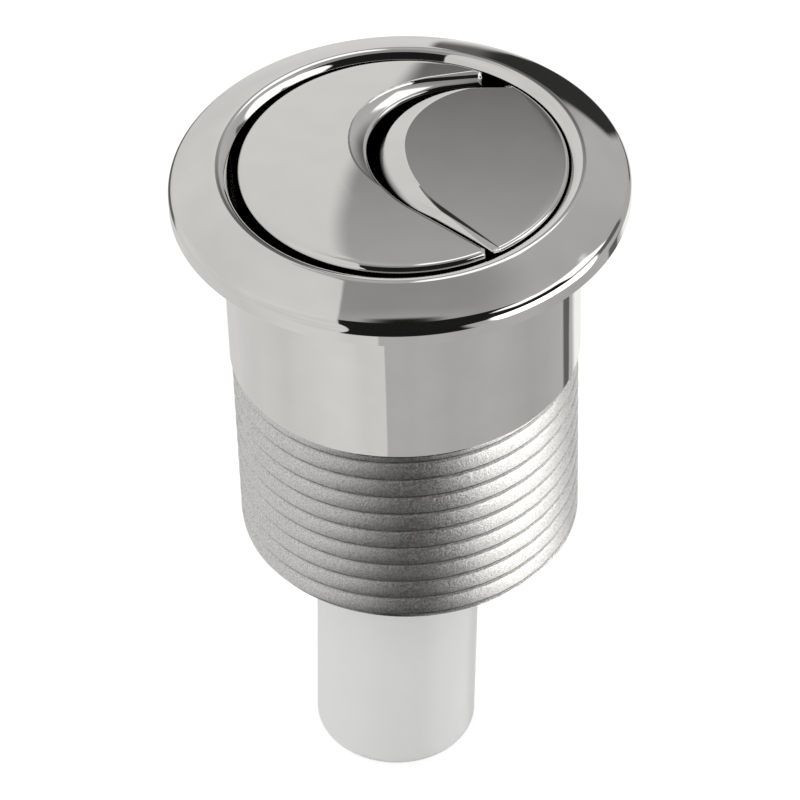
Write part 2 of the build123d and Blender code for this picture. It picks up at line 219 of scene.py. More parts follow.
def satinThreadFinish(tree, place, height, radius, rough, tone, normal):
    # Bead-blasted thread below the band: sparkling grain, painted shade in the grooves and a darker ragged
    # strip just below the band
    look = chromeLook
    below = ramp(tree, height, look["satinTop"], look["satinTop"] - look["satinSoft"], smooth=False)
    satin = calc(tree, "MULTIPLY", below, calc(tree, "GREATER_THAN", radius, look["satinInner"]))
    grain = speckle(tree, place, look["grain"], 2.0, 0.6)
    blasted = ramp(tree, grain, *look["grainRange"], *look["satinRoughness"])
    rough = blendValue(tree, satin, rough, blasted)
    normal = bump(tree, calc(tree, "MULTIPLY", grain, satin), look["grainDepth"], under=normal)
    spark = ramp(tree, grain, *look["sparkRange"], *look["sparkTone"])
    # Painted shade: darker colour in the groove bottoms, by distance from the axis
    paintedGrooveShade = ramp(tree, radius, *look["grooveShadeRadius"], look["grooveShadeTone"], 1.0)
    # A darker strip just below the band, broken up by noise
    bandFootEnd = look["satinTop"] - look["bandFootHeight"]
    bandFoot = window(tree, height, bandFootEnd, look["satinTop"], look["bandFootSoft"])
    torn = ramp(tree, speckle(tree, place, look["torn"], 2.0, 0.7), *look["bandFootRagRange"])
    edge = blendValue(tree, calc(tree, "MULTIPLY", bandFoot, torn), 1.0, look["bandFootTone"])
    shade = joined(tree, "ShaderNodeCombineColor", *[product(tree, spark, paintedGrooveShade, edge)] * 3)
    return rough, blendColour(tree, satin, tone, shade, "MULTIPLY"), normal


def chromeFinish(name, satinThread):
    look = chromeLook
    material, tree, shader = newMaterial(name)
    place = objectPlace(tree)
    haze = speckle(tree, place, look["haze"], 4.0)
    slow = speckle(tree, place, look["ripple"], 1.0)
    rough = ramp(tree, haze, *look["hazeRange"], *look["roughness"])
    tone = blendColour(tree, haze, look["dark"], look["light"])
    normal = bump(tree, slow, look["rippleDepth"])
    axes = axesOf(tree, place)
    # Painted shade: the colour darkens with depth in the gaps, and on the collar only inside the bore
    owner = "collar" if satinThread else "cap"
    depthShade = ramp(tree, axes[2], look["shadeTop"][owner], look["shadeBottom"][owner])
    if satinThread:
        radius = axisDistance(tree, axes)
        rough, tone, normal = satinThreadFinish(tree, place, axes[2], radius, rough, tone, normal)
        inBore = calc(tree, "LESS_THAN", radius, look["satinInner"] + look["boreReach"])
        depthShade = calc(tree, "MULTIPLY", depthShade, inBore)
    tree.links.new(rough, shader.inputs["Roughness"])
    # Painted shade laid over the plating colour by height
    tree.links.new(blendColour(tree, depthShade, tone, look["bare"]), shader.inputs["Base Color"])
    tree.links.new(normal, shader.inputs["Normal"])
    shader.inputs["Metallic"].default_value = 1.0
    return material


plasticLook = {
    "cloud": 70, "grain": 900, "grainRange": (0.3, 0.7), "depth": 0.00002,
    "glowRadius": (1.0, 1.0, 0.9), "glowScale": 0.002,
}
steelLook = {"marks": 2600, "marksRange": (0.3, 0.7), "along": (1, 1, 0.25), "depth": 0.00001}


def plasticFinish(name, dark, light, roughness, subsurface=0.0):
    # Moulded plastic: faint colour drift, fine texture and an uneven sheen
    material, tree, shader = newMaterial(name)
    place = objectPlace(tree)
    cloud = speckle(tree, place, plasticLook["cloud"], 3.0)
    fine = speckle(tree, place, plasticLook["grain"], 3.0)
    tree.links.new(blendColour(tree, cloud, dark, light), shader.inputs["Base Color"])
    tree.links.new(ramp(tree, fine, *plasticLook["grainRange"], *roughness), shader.inputs["Roughness"])
    tree.links.new(bump(tree, fine, plasticLook["depth"]), shader.inputs["Normal"])
    if subsurface:
        shader.inputs["Subsurface Weight"].default_value = subsurface
        shader.inputs["Subsurface Radius"].default_value = plasticLook["glowRadius"]
        shader.inputs["Subsurface Scale"].default_value = plasticLook["glowScale"]
    return material


def steelFinish(name, dark, light, roughness):
    # Drawn or turned steel with fine marks
    material, tree, shader = newMaterial(name)
    place = objectPlace(tree)
    marks = speckle(tree, place, steelLook["marks"], 3.0, 0.6, stretch=steelLook["along"])
    tree.links.new(blendColour(tree, marks, dark, light), shader.inputs["Base Color"])
    tree.links.new(ramp(tree, marks, *steelLook["marksRange"], *roughness), shader.inputs["Roughness"])
    tree.links.new(bump(tree, marks, steelLook["depth"]), shader.inputs["Normal"])
    shader.inputs["Metallic"].default_value = 1.0
    return material


collarFinish = chromeFinish("collarChrome", True)
capFinish = chromeFinish("capChrome", False)
pusherFinish = plasticFinish("pusherAcetal", (0.83, 0.835, 0.82), (0.88, 0.885, 0.87), (0.28, 0.4), 0.35)
sliderFinish = plasticFinish("sliderPlastic", (0.78, 0.78, 0.76), (0.84, 0.84, 0.82), (0.4, 0.52))
insertFinish = plasticFinish("insertPlastic", (0.72, 0.73, 0.72), (0.78, 0.79, 0.78), (0.42, 0.55))
springFinish = steelFinish("springSteel", (0.5, 0.5, 0.5), (0.66, 0.66, 0.66), (0.2, 0.34))
screwFinish = steelFinish("screwSteel", (0.46, 0.46, 0.46), (0.6, 0.6, 0.6), (0.26, 0.4))
print("finishes made")


# Mesh helpers

def rounded(corners, step=9):
    # Closed outline from (x, z, radius) corners, with an arc of short steps at each rounded one
    points = []
    count = len(corners)
    for i, (x, z, radius) in enumerate(corners):
        here = Vector((x, z))
        if radius <= 0:
            points.append(here)
            continue
        before = (Vector(corners[i - 1][:2]) - here).normalized()
        after = (Vector(corners[(i + 1) % count][:2]) - here).normalized()
        half = before.angle(after) / 2
        reach = radius / math.tan(half)
        centre = here + (before + after).normalized() * (radius / math.sin(half))
        start = here + before * reach - centre
        sweep = math.pi - 2 * half
        turn = 1 if start.y * before.x - start.x * before.y > 0 else -1
        steps = max(2, round(math.degrees(sweep) / step))
        for k in range(steps + 1):
            a = turn * sweep * k / steps
            points.append(centre + Vector((start.x * math.cos(a) - start.y * math.sin(a),
                                           start.x * math.sin(a) + start.y * math.cos(a))))
    return points


def holdStraights(points, gap=0.12, shortest=1.2):
    # Extra points just inside each long straight run keep its shading flat
    out = []
    for i, here in enumerate(points):
        out.append(here)
        run = points[(i + 1) % len(points)] - here
        if run.length > shortest:
            out.append(here + run * (gap / run.length))
            out.append(here + run * (1 - gap / run.length))
    return out


def plainMesh(name, points, faces):
    mesh = bpy.data.meshes.new(name)
    mesh.from_pydata(points, [], faces)
    mesh.update()
    return mesh


def newObject(name, mesh):
    thing = bpy.data.objects.new(name, mesh)
    scene.collection.objects.link(thing)
    return thing


def sharpen(mesh, degrees):
    mesh.polygons.foreach_set("use_smooth", [True] * len(mesh.polygons))
    mesh.set_sharp_from_angle(angle=math.radians(degrees))


def finishNodes(thing, tree, settings, degrees=32):
    # Runs a Geometry Nodes tree on thing with named settings, and keeps the result as a plain mesh
    modifier = thing.modifiers.new("shape", "NODES")
    modifier.node_group = tree
    sockets = {item.name: item.identifier for item in tree.interface.items_tree if item.in_out == "INPUT"}
    for label, value in settings.items():
        modifier[sockets[label]] = value
    view = bpy.context.evaluated_depsgraph_get()
    mesh = bpy.data.meshes.new_from_object(thing.evaluated_get(view), depsgraph=view)
    thing.modifiers.remove(modifier)
    thing.data = mesh
    mesh.name = thing.name
    sharpen(mesh, degrees)
    return thing


def treeInputs(name, fields):
    # New Geometry Nodes tree with a geometry input and the named inputs
    tree = bpy.data.node_groups.new(name, "GeometryNodeTree")
    tree.interface.new_socket("Geometry", in_out="INPUT", socket_type="NodeSocketGeometry")
    for label, kind, value in fields:
        item = tree.interface.new_socket(label, in_out="INPUT", socket_type=kind)
        if value is not None:
            item.default_value = value
    tree.interface.new_socket("Geometry", in_out="OUTPUT", socket_type="NodeSocketGeometry")
    return tree, put(tree, "NodeGroupInput").outputs, put(tree, "NodeGroupOutput").inputs


def closeTree(tree, geometry, finish, target):
    # Every tree ends with real geometry that carries its finish
    real = put(tree, "GeometryNodeRealizeInstances")
    coat = put(tree, "GeometryNodeSetMaterial")
    tree.links.new(geometry, real.inputs[0])
    tree.links.new(real.outputs[0], coat.inputs["Geometry"])
    tree.links.new(finish, coat.inputs["Material"])
    tree.links.new(coat.outputs[0], target[0])


# Turned pieces: collar and sleeve

def makeTurnedTree():
    # Turns an outline round Z, cuts a helical groove in one band, and leans the result about a pivot
    tree, given, target = treeInputs("turnedPiece", (
        ("Segments", "NodeSocketInt", 128), ("Thread Pitch", "NodeSocketFloat", 0.0025),
        ("Groove Depth", "NodeSocketFloat", 0.0), ("Groove Width", "NodeSocketFloat", 0.0007),
        ("Groove Start", "NodeSocketFloat", 0.0), ("Thread Top", "NodeSocketFloat", 0.0),
        ("Thread Bottom", "NodeSocketFloat", -1.0), ("Thread Radius", "NodeSocketFloat", 10.0),
        ("Land Crown", "NodeSocketFloat", 0.0),
        ("Pivot Height", "NodeSocketFloat", 0.0), ("Lean", "NodeSocketFloat", 0.0),
        ("Finish", "NodeSocketMaterial", None)))
    size = put(tree, "GeometryNodeAttributeDomainSize")
    tree.links.new(given["Geometry"], size.inputs[0])
    count = size.outputs["Point Count"]
    columns = calc(tree, "ADD", given["Segments"], 1)
    grid = put(tree, "GeometryNodeMeshGrid")
    tree.links.new(columns, grid.inputs["Vertices X"])
    tree.links.new(count, grid.inputs["Vertices Y"])
    index = put(tree, "GeometryNodeInputIndex").outputs[0]
    column = calc(tree, "FLOOR", calc(tree, "DIVIDE", calc(tree, "ADD", index, 0.5), count))
    row = calc(tree, "SUBTRACT", index, calc(tree, "MULTIPLY", column, count))
    pick = put(tree, "GeometryNodeSampleIndex", data_type="FLOAT_VECTOR", domain="POINT")
    tree.links.new(given["Geometry"], pick.inputs["Geometry"])
    tree.links.new(put(tree, "GeometryNodeInputPosition").outputs[0], pick.inputs["Value"])
    tree.links.new(row, pick.inputs["Index"])
    radius, _, height = axesOf(tree, pick.outputs[0])
    turn = calc(tree, "DIVIDE", column, given["Segments"])
    # The groove's middle rises by one pitch a turn, anticlockwise, as on a right-hand thread
    climbed = calc(tree, "SUBTRACT", height, given["Groove Start"])
    phase = calc(tree, "SUBTRACT", calc(tree, "DIVIDE", climbed, given["Thread Pitch"]), turn)
    wrapped = calc(tree, "FRACT", calc(tree, "ADD", phase, 0.5))
    near = calc(tree, "ABSOLUTE", calc(tree, "SUBTRACT", wrapped, 0.5))
    halfWidth = calc(tree, "DIVIDE", given["Groove Width"], 2.0)
    share = calc(tree, "DIVIDE", calc(tree, "MULTIPLY", near, given["Thread Pitch"]), halfWidth)
    deep = calc(tree, "SUBTRACT", 1.0, share, clamp=True)
    inZone = calc(tree, "MULTIPLY", calc(tree, "LESS_THAN", height, given["Thread Top"]),
                  calc(tree, "GREATER_THAN", height, given["Thread Bottom"]))
    onThread = calc(tree, "MULTIPLY", inZone, calc(tree, "GREATER_THAN", radius, given["Thread Radius"]))
    cut = calc(tree, "MULTIPLY", deep, given["Groove Depth"])
    # Each land is faintly barrelled between its grooves
    edgeward = calc(tree, "SUBTRACT", 1.0, calc(tree, "MULTIPLY", near, 2.0))
    crown = calc(tree, "MULTIPLY", calc(tree, "POWER", edgeward, 2.0), given["Land Crown"])
    cut = calc(tree, "MULTIPLY", calc(tree, "ADD", cut, crown), onThread)
    reach = calc(tree, "SUBTRACT", radius, cut)
    angle = calc(tree, "MULTIPLY", turn, 2 * math.pi)
    spot = joined(tree, "ShaderNodeCombineXYZ",
                  calc(tree, "MULTIPLY", reach, calc(tree, "COSINE", angle)),
                  calc(tree, "MULTIPLY", reach, calc(tree, "SINE", angle)),
                  calc(tree, "SUBTRACT", height, given["Pivot Height"]))
    move = put(tree, "GeometryNodeSetPosition")
    tree.links.new(grid.outputs[0], move.inputs["Geometry"])
    tree.links.new(spot, move.inputs["Position"])
    weld = put(tree, "GeometryNodeMergeByDistance")
    weld.inputs["Distance"].default_value = weldReach
    tree.links.new(move.outputs[0], weld.inputs["Geometry"])
    lean = joined(tree, "ShaderNodeCombineXYZ", 0.0, given["Lean"])
    lift = joined(tree, "ShaderNodeCombineXYZ", 0.0, 0.0, given["Pivot Height"])
    tilt = put(tree, "GeometryNodeTransform")
    tree.links.new(weld.outputs[0], tilt.inputs["Geometry"])
    tree.links.new(lean, tilt.inputs["Rotation"])
    tree.links.new(lift, tilt.inputs["Translation"])
    closeTree(tree, tilt.outputs[0], given["Finish"], target)
    return tree


turnedTree = makeTurnedTree()


def turnedPiece(name, outline, settings):
    # outline is a closed list of (radius, height) in millimetres
    points = [(x * mm, 0.0, z * mm) for x, z in outline]
    points.append(points[0])
    edges = [(i, i + 1) for i in range(len(points) - 1)]
    mesh = bpy.data.meshes.new(name + "Outline")
    mesh.from_pydata(points, edges, [])
    return finishNodes(newObject(name, mesh), turnedTree, settings)


collar = {
    "bore": 17.3, "boreEnd": -44.6, "ledge": 16.6, "ledgeTop": -9.8, "ledgeBottom": -11.4,
    "ringGroove": 17.7, "ringTop": -24.0, "ringBottom": -25.6, "edgeBreak": 0.4,
    "opening": 18.0, "openingRounding": 0.12, "bezel": 18.95, "bezelDepth": 1.0, "bezelRounding": 1.25,
    "rise": 4.6, "domeBulge": 0.085, "domeSteps": 12,
    "domeShortest": 3.0, "domeClear": 2.0,
    "rim": 24.3, "rimHeight": 2.1, "rimRounding": 1.25, "lowerRounding": 0.0,
    "barrel": 19.0, "neckRounding": 0.4, "smoothEnd": -20.4, "bandRounding": 0.04,
    "thread": 18.78, "pitch": 2.5, "grooveWidth": 0.5, "grooveDepth": 0.34, "grooveStart": -20.925,
    "landCrown": 0.14, "threadMargin": 0.05, "rowStep": 0.075, "segments": 210, "arcStep": 7,
}


def bulgeDome(c, outline):
    # Adds points to the long run between rim and bezel, so that it bulges a little
    chord = math.hypot(c["rim"] - c["bezel"], c["rise"] - c["rimHeight"])
    along = Vector((c["bezel"] - c["rim"], c["rise"] - c["rimHeight"])) / chord
    away = Vector((along.y, -along.x))
    bulged = []
    for i, here in enumerate(outline):
        bulged.append(here)
        following = outline[(i + 1) % len(outline)]
        span = following - here
        onFlange = here.x > c["barrel"] + c["domeClear"] and following.y > here.y
        if span.length > c["domeShortest"] and onFlange:
            for k in range(1, c["domeSteps"]):
                t = k / c["domeSteps"]
                bulged.append(here + span * t + away * (c["domeBulge"] * 4 * t * (1 - t)))
    return bulged


def collarOutline(c):
    # Up the opening, down the bore, round the mouth, up the thread and the band, and over the flange
    mouth = c["boreEnd"] + c["edgeBreak"]
    corners = [
        (c["opening"], c["rise"] - c["bezelDepth"], c["openingRounding"]), (c["opening"], c["ledgeTop"], 0),
        (c["ledge"], c["ledgeTop"], 0), (c["ledge"], c["ledgeBottom"], 0), (c["bore"], c["ledgeBottom"], 0),
        (c["bore"], c["ringTop"], 0), (c["ringGroove"], c["ringTop"], 0),
        (c["ringGroove"], c["ringBottom"], 0), (c["bore"], c["ringBottom"], 0),
        (c["bore"], mouth, 0), (c["bore"] + c["edgeBreak"], c["boreEnd"], 0),
        (c["thread"] - c["edgeBreak"], c["boreEnd"], 0), (c["thread"], mouth, 0),
    ]
    threadLength = c["smoothEnd"] - mouth
    rows = round(threadLength / c["rowStep"])
    for k in range(1, rows):
        corners.append((c["thread"], mouth + k * threadLength / rows, 0))
    corners += [
        (c["thread"], c["smoothEnd"], 0), (c["barrel"], c["smoothEnd"], c["bandRounding"]),
        (c["barrel"], 0, c["neckRounding"]), (c["rim"], 0, c["lowerRounding"]),
        (c["rim"], c["rimHeight"], c["rimRounding"]), (c["bezel"], c["rise"], c["bezelRounding"]),
    ]
    outline = bulgeDome(c, rounded(corners, step=c["arcStep"]))
    return [(p.x, p.y) for p in holdStraights(outline)]


collarPiece = turnedPiece("chromeCollar", collarOutline(collar), {
    "Segments": collar["segments"],
    "Thread Pitch": collar["pitch"] * mm,
    "Groove Depth": collar["grooveDepth"] * mm,
    "Groove Width": collar["grooveWidth"] * mm,
    "Groove Start": collar["grooveStart"] * mm,
    "Land Crown": collar["landCrown"] * mm,
    "Thread Top": (collar["smoothEnd"] - collar["threadMargin"]) * mm,
    "Thread Bottom": (collar["boreEnd"] + collar["threadMargin"]) * mm,
    "Thread Radius": (collar["thread"] - collar["threadMargin"]) * mm,
    "Finish": collarFinish})
print("collar made:", len(collarPiece.data.polygons), "faces")

sleeve = {"radius": 9.15, "bore": 7.55, "head": 9.65, "headHalf": 0.7, "length": 65.8, "endWall": 2.2,
          "hole": 4.9, "holeRounding": 0.15, "endRounding": 1.0, "headRounding": 0.1,
          "pivot": -12.5, "lean": 2.1, "segments": 144}


def sleeveOutline(s):
    base = s["pivot"] - s["length"]
    headTop = s["pivot"] + s["headHalf"]
    headBottom = s["pivot"] - s["headHalf"]
    corners = [
        (s["bore"], headTop, s["headRounding"]), (s["bore"], base + s["endWall"], 0),
        (s["hole"], base + s["endWall"], 0), (s["hole"], base, s["holeRounding"]),
        (s["radius"], base, s["endRounding"]), (s["radius"], headBottom, 0),
        (s["head"], headBottom, s["headRounding"]), (s["head"], headTop, s["headRounding"]),
    ]
    return [(p.x, p.y) for p in holdStraights(rounded(corners))]


sleevePiece = turnedPiece("fullFlushSleeve", sleeveOutline(sleeve), {
    "Segments": sleeve["segments"], "Pivot Height": sleeve["pivot"] * mm,
    "Lean": math.radians(sleeve["lean"]), "Finish": pusherFinish})
print("sleeve made")


# Button caps

split = {"y": 2.4}
fullLine = {"left": -3.29, "upper": 10.5, "lower": 13.9, "topAngle": 100, "tailAngle": 228}
halfLine = {"left": -2.17, "upper": 10.35, "lower": 14.3, "topAngle": 90, "tailAngle": 226}
bevelLine = {"left": 0.5, "upper": 10.1, "lower": 15.3, "topAngle": 90, "tailAngle": 221}
disc = {
    "radius": 17.4, "shift": 0.4, "face": 4.4, "base": -3.6, "wall": 1.3, "wallShare": 0.4, "wallRows": 4,
    "crownX": 340.0, "crownY": 500.0, "levelAt": 0.6, "halfSink": 0.23,
    "backHorn": 9.3, "frontHorn": 8.6, "hornRounding": 0.7, "rimRounding": 0.7, "halfRimRounding": 0.5,
    "fullGapRounding": 0.45, "halfGapRounding": 0.12, "halfGapChamfer": 0.72, "facetFall": 0.6,
    "fullPoints": 420, "halfPoints": 380, "tipCut": 0.3, "searchX": 17.0, "searchStep": 0.05,
    "edgeAngles": (0, 12, 24, 36, 48, 60, 72, 84, 90), "edgeRoom": 2.4,
    "nearReach": 3.6, "nearShare": 0.75, "nearRows": 40, "farRows": 12, "creaseAngle": 40,
}
scoop = {"x": 5.35, "y": 2.8, "radius": 10.9, "topAngle": 98, "tube": 6.3, "startSlope": 26.0, "step": 0.07,
         "stepReach": 0.12, "outside": 1.5, "soft": 0.03, "tilt": 2.0, "fadeAngle": 225}
bevel = {"slope": 15.0, "soft": 0.05, "inside": 3.0, "ridgeY": (-14.0, -9.0, -6.5, -4.0),
         "ridgeWidth": (1.0, 0.85, 0.35, 0.0), "ridgeSlope": 22.0}


def arcSpot(centreX, radius, angle):
    return np.array((centreX + radius * math.cos(angle), split["y"] + radius * math.sin(angle)))


def commaPoints(line, backX, frontX, step=0.15):
    # Points along a comma line from its straight head, round its two arcs, to its straight tail
    upperX, lowerX = line["left"] + line["upper"], line["left"] + line["lower"]
    top, tail = math.radians(line["topAngle"]), math.radians(line["tailAngle"])
    points = []
    start = arcSpot(upperX, line["upper"], top)
    heading = np.array((math.sin(top), -math.cos(top)))
    run = (backX - start[0]) / heading[0]
    count = max(2, int(run / step))
    for k in range(count, 0, -1):
        points.append(start + heading * run * k / count)
    for a in np.arange(top, math.pi, step / line["upper"]):
        points.append(arcSpot(upperX, line["upper"], a))
    for a in np.arange(math.pi, tail, step / line["lower"]):
        points.append(arcSpot(lowerX, line["lower"], a))
    end = arcSpot(lowerX, line["lower"], tail)
    heading = np.array((-math.sin(tail), math.cos(tail)))
    run = (frontX - end[0]) / heading[0]
    count = max(2, int(run / step))
    for k in range(count + 1):
        points.append(end + heading * run * k / count)
    return np.array(points)


def distanceTo(path, points):
    # Shortest distance from each point to a path of straight runs
    a, b = path[:-1], path[1:]
    run = b - a
    best = np.full(len(points), 1e9)
    for start, step in zip(a, run):
        t = np.clip(((points - start) @ step) / max(step @ step, 1e-12), 0, 1)
        gap = np.hypot(*(points - start - t[:, None] * step).T)
        best = np.minimum(best, gap)
    return best


def sideOf(line, points):
    # Distance from a comma line: positive on its +X side, inside the comma
    upperX, lowerX = line["left"] + line["upper"], line["left"] + line["lower"]
    top, tail = math.radians(line["topAngle"]), math.radians(line["tailAngle"])
    x, y = points[:, 0], points[:, 1]
    out = np.where(y >= split["y"], line["upper"] - np.hypot(x - upperX, y - split["y"]),
                   line["lower"] - np.hypot(x - lowerX, y - split["y"]))
    # Straight head and tail take over where they leave the arcs
    headNormal = np.array((math.cos(top), math.sin(top)))
    headRun = np.array((math.sin(top), -math.cos(top)))
    rel = points - np.array((upperX, split["y"]))
    beyond = (rel @ headRun > 0) & (y >= split["y"])
    out = np.where(beyond, line["upper"] - rel @ headNormal, out)
    tailNormal = np.array((math.cos(tail), math.sin(tail)))
    tailRun = np.array((-math.sin(tail), math.cos(tail)))
    rel = points - np.array((lowerX, split["y"]))
    beyond = (rel @ tailRun > 0) & (y < split["y"])
    return np.where(beyond, line["lower"] - rel @ tailNormal, out)


def quarterDrop(gap, radius):
    # How far a rounded edge lies below the face at a distance from the edge
    inside = np.clip(radius - gap, 0, radius)
    return radius - np.sqrt(np.maximum(radius**2 - inside**2, 0))


def softLower(first, second, soft):
    # The lower of two heights, rounded over where they meet
    d = np.clip(0.5 + 0.5 * (second - first) / soft, 0, 1)
    return second * (1 - d) + first * d - soft * d * (1 - d)


def faceHeight(points):
    # Faintly crowned face, level with the plain one at a share of the radius
    x, y = points[:, 0] - disc["shift"], points[:, 1]
    drop = x**2 / (2 * disc["crownX"]) + y**2 / (2 * disc["crownY"])
    return disc["face"] + (disc["levelAt"] * disc["radius"]) ** 2 / (2 * disc["crownX"]) - drop


def fullHeight(points, rimGap, lineGap):
    top = faceHeight(points)
    start = math.radians(scoop["startSlope"])
    # The scoop's outer line is an arc that runs on straight towards the back horn
    rel = points - np.array((scoop["x"], scoop["y"]))
    head = math.radians(scoop["topAngle"])
    inward = scoop["radius"] - np.hypot(rel[:, 0], rel[:, 1])
    beyond = (rel @ np.array((math.sin(head), -math.cos(head))) > 0) & (rel[:, 1] > 0)
    inward = np.where(beyond, scoop["radius"] - rel @ np.array((math.cos(head), math.sin(head))), inward)
    fade = math.radians(scoop["fadeAngle"])
    away = rel[:, 0] * math.cos(fade) + rel[:, 1] * math.sin(fade)
    # Round-bottomed channel that starts at a slope, behind a small step, and shallows towards the front
    span = np.clip(scoop["tube"] * math.sin(start) - inward, -scoop["tube"], scoop["tube"])
    bowl = top + scoop["tube"] * math.cos(start) - np.sqrt(np.maximum(scoop["tube"] ** 2 - span**2, 0))
    bowl -= scoop["step"] * np.clip(inward / scoop["stepReach"], -1, 1)
    bowl += away * math.tan(math.radians(scoop["tilt"]))
    bowl = np.where(inward < -scoop["outside"], top + 1, bowl)
    top = softLower(top, bowl, scoop["soft"])
    endGap = np.where(points[:, 1] > 0, disc["backHorn"], disc["frontHorn"]) - points[:, 0]
    rimDrop = quarterDrop(rimGap, disc["rimRounding"])
    lineDrop = quarterDrop(lineGap, disc["fullGapRounding"])
    hornDrop = quarterDrop(np.maximum(endGap, 0), disc["hornRounding"])
    return top - np.maximum(np.maximum(rimDrop, lineDrop), hornDrop)


def halfHeight(points, rimGap, lineGap):
    outward = -sideOf(bevelLine, points)
    top = faceHeight(points) - disc["halfSink"]
    # Towards the front tip a narrow ridge stands between the bevel and the face
    width = np.interp(points[:, 1], bevel["ridgeY"], bevel["ridgeWidth"])
    climb = np.clip(outward, 0, width) * math.tan(math.radians(bevel["ridgeSlope"]))
    beyond = np.maximum(outward - width, -bevel["inside"])
    slope = top + climb - beyond * math.tan(math.radians(bevel["slope"]))
    top = softLower(top + climb, slope, bevel["soft"])
    # The edge at the gap is broken by a steeper facet under the bevel
    facet = np.maximum(disc["halfGapChamfer"] - lineGap, 0) * disc["facetFall"]
    facet += quarterDrop(lineGap, disc["halfGapRounding"])
    return top - np.maximum(quarterDrop(rimGap, disc["halfRimRounding"]), facet)


def gapToRim(points):
    return np.maximum(disc["radius"] - np.hypot(points[:, 0] - disc["shift"], points[:, 1]), 0)


def rimArc(start, end, count):
    # Points along the disc's rim between two angles
    angles = np.linspace(start, end, count)
    x = disc["shift"] + disc["radius"] * np.cos(angles)
    return np.column_stack([x, disc["radius"] * np.sin(angles)])


def resample(path, count):
    runs = np.hypot(*np.diff(path, axis=0).T)
    along = np.concatenate(([0], np.cumsum(runs)))
    spots = np.linspace(0, along[-1], count)
    return np.column_stack([np.interp(spots, along, path[:, k]) for k in (0, 1)])


def capRows(inner, outer, innerRound, outerRound):
    # Shares at which each row's points lie, close-set in the rounded edges and near the split
    steps = [1 - math.cos(math.radians(a)) for a in disc["edgeAngles"]]
    startGaps = [innerRound * s for s in steps]
    endGaps = [outerRound * s for s in steps]
    rows = []
    for w in np.hypot(*(outer - inner).T):
        squeeze = min(1.0, w / (disc["edgeRoom"] * (startGaps[-1] + endGaps[-1])))
        first = [g * squeeze for g in startGaps]
        last = [w - g * squeeze for g in endGaps][::-1]
        near = min(disc["nearReach"], first[-1] + disc["nearShare"] * (last[0] - first[-1]))
        between = np.concatenate((np.linspace(first[-1], near, disc["nearRows"] + 1)[1:],
                                  np.linspace(near, last[0], disc["farRows"] + 2)[1:-1]))
        rows.append(np.array(first + list(between) + last) / max(w, 1e-9))
    return np.array(rows)


def capMesh(name, inner, outer, height, innerRound, outerRound):
    # Ruled from the split edge to the rim, then walls down to the base
    share = capRows(inner, outer, innerRound, outerRound)
    grid = inner[:, None, :] + share[:, :, None] * (outer - inner)[:, None, :]
    flat = grid.reshape(-1, 2)
    z = height(flat, gapToRim(flat), distanceTo(inner, flat)).reshape(grid.shape[:2])
    top = np.dstack([grid, z])
    levels = np.linspace(0, 1, disc["wallRows"] + 1)[1:]
    downIn = [np.column_stack([inner, z[:, 0] * (1 - t) + disc["base"] * t]) for t in levels[::-1]]
    downOut = [np.column_stack([outer, z[:, -1] * (1 - t) + disc["base"] * t]) for t in levels]
    strips = [d[:, None, :] for d in downIn] + [top] + [d[:, None, :] for d in downOut]
    skin = np.concatenate(strips, axis=1)
    n, m = skin.shape[:2]
    faces = []
    for i in range(n - 1):
        for j in range(m - 1):
            a = i * m + j
            faces.append((a, a + 1, a + m + 1, a + m))
    # Ends of the horns
    faces.append(tuple(range(m - 1, -1, -1)))
    faces.append(tuple(range((n - 1) * m, n * m)))
    return tidyShell(plainMesh(name, (skin.reshape(-1, 3) * mm).tolist(), faces))


def tidyShell(mesh):
    # Welds the shell and turns its faces outwards
    work = bmesh.new()
    work.from_mesh(mesh)
    bmesh.ops.remove_doubles(work, verts=work.verts, dist=shellWeld)
    bmesh.ops.dissolve_degenerate(work, dist=weldReach, edges=work.edges)
    bmesh.ops.recalc_face_normals(work, faces=work.faces)
    work.to_mesh(mesh)
    work.free()
    mesh.update()
    return mesh


def addWall(thing, line):
    # The wall thins in the narrow tips, so that its two sides never cross
    flat = np.array([vertex.co[:2] for vertex in thing.data.vertices]) / mm
    room = gapToRim(flat) + distanceTo(line, flat)
    group = thing.vertex_groups.new(name="wallShare")
    for i, width in enumerate(room):
        group.add([i], float(min(1.0, disc["wallShare"] * width / disc["wall"])), "REPLACE")
    thick = thing.modifiers.new("wall", "SOLIDIFY")
    thick.thickness = disc["wall"] * mm
    thick.offset = -1
    thick.use_even_offset = False
    thick.vertex_group = group.name
    view = bpy.context.evaluated_depsgraph_get()
    mesh = bpy.data.meshes.new_from_object(thing.evaluated_get(view), depsgraph=view)
    thing.modifiers.remove(thick)
    thing.vertex_groups.remove(group)
    thing.data = mesh


def makeFullCap():
    line = commaPoints(fullLine, disc["backHorn"], disc["frontHorn"])
    inner = resample(line, disc["fullPoints"])
    backX = disc["backHorn"] - disc["shift"]
    frontX = disc["frontHorn"] - disc["shift"]
    start = math.atan2(math.sqrt(disc["radius"] ** 2 - backX**2), backX)
    end = math.atan2(-math.sqrt(disc["radius"] ** 2 - frontX**2), frontX) + 2 * math.pi
    outer = rimArc(start, end, disc["fullPoints"])
    mesh = capMesh("fullFlushCap", inner, outer, fullHeight, disc["fullGapRounding"], disc["rimRounding"])
    return newObject("fullFlushCap", mesh), line


def makeHalfCap():
    # The comma line is cut off just inside the rim, so that its two tips have some width
    far = commaPoints(halfLine, disc["searchX"], disc["searchX"], step=disc["searchStep"])
    fromCentre = np.hypot(far[:, 0] - disc["shift"], far[:, 1])
    line = far[fromCentre < disc["radius"] - disc["tipCut"]]
    inner = resample(line, disc["halfPoints"])
    start = math.atan2(inner[0][1], inner[0][0] - disc["shift"])
    end = math.atan2(inner[-1][1], inner[-1][0] - disc["shift"])
    outer = rimArc(start, end, disc["halfPoints"])
    mesh = capMesh("halfFlushCap", inner, outer, halfHeight, disc["halfGapChamfer"],
                   disc["halfRimRounding"])
    return newObject("halfFlushCap", mesh), line


